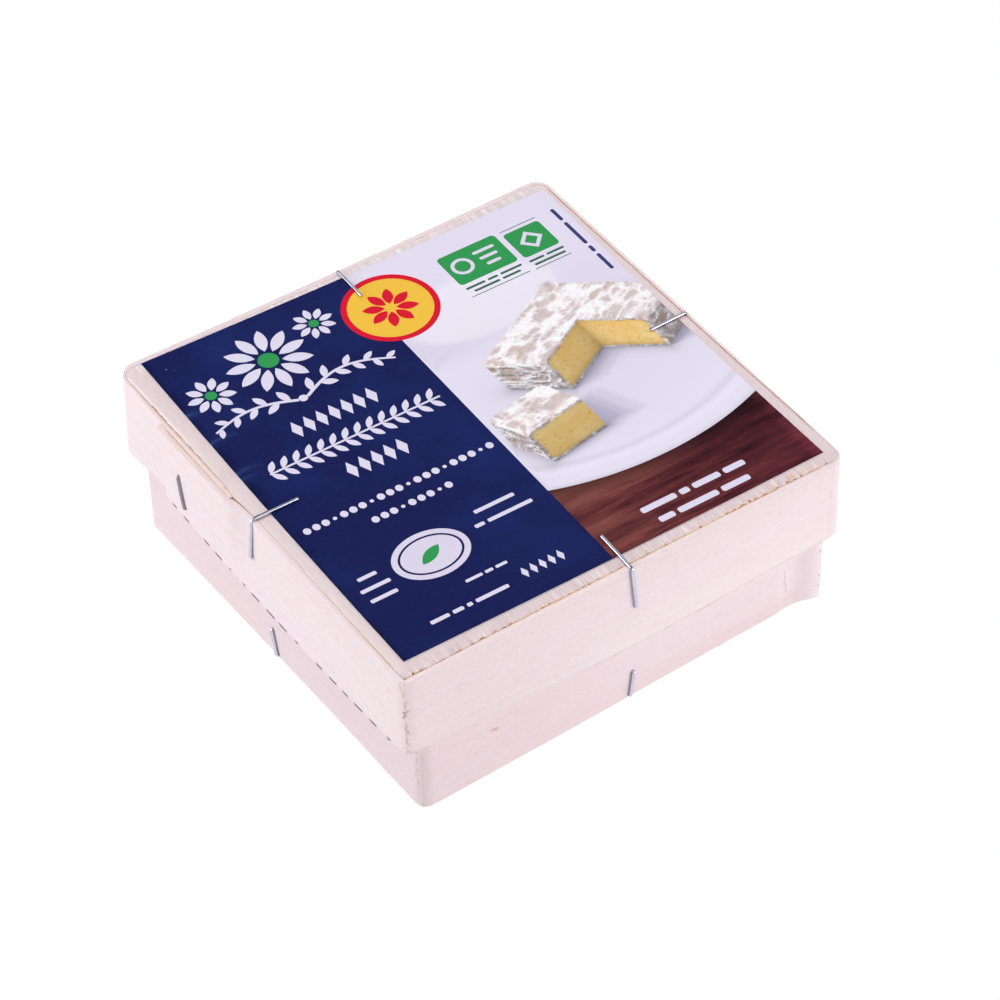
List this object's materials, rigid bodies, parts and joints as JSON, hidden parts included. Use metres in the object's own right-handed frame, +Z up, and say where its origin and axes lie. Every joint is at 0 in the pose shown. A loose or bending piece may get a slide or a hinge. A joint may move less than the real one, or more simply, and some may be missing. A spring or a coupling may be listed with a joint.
{
  "type": "wooden cheese box",
  "caption": "Shut square box of thin poplar for a small soft cheese: drop-over lid band, inset boards, wire staples and a printed label over the lid.",
  "frame": {"origin": "centre of the bounding box's lower face, on the plane that the box stands on", "axes": "+X along the front face to the right, +Y from the front to the back, +Z up through the lid and its label; the label's reading direction runs along +X"},
  "size_m": [0.1074, 0.1078, 0.04],
  "materials": {
    "poplar_board": "raw peeled poplar, pale, matt, grain from front to back",
    "poplar_band": "raw peeled poplar veneer, pale, matt, grain along the band",
    "label_paper": "coated printed paper, dark blue and pale lilac fields, slight sheen",
    "staple_wire": "bright drawn steel wire"
  },
  "bodies": {
    "root": {"lid_board": "poplar_board", "lid_band": "poplar_band", "base_band": "poplar_band", "base_board": "poplar_board", "label": "label_paper", "lid_staple_front": "staple_wire", "lid_staple_right": "staple_wire", "lid_staple_back": "staple_wire", "lid_staple_left": "staple_wire", "lid_seam_staple": "staple_wire", "base_staple_front": "staple_wire", "base_staple_right": "staple_wire", "base_staple_back": "staple_wire", "base_staple_left": "staple_wire", "base_seam_staple": "staple_wire"}
  },
  "joints": []
}
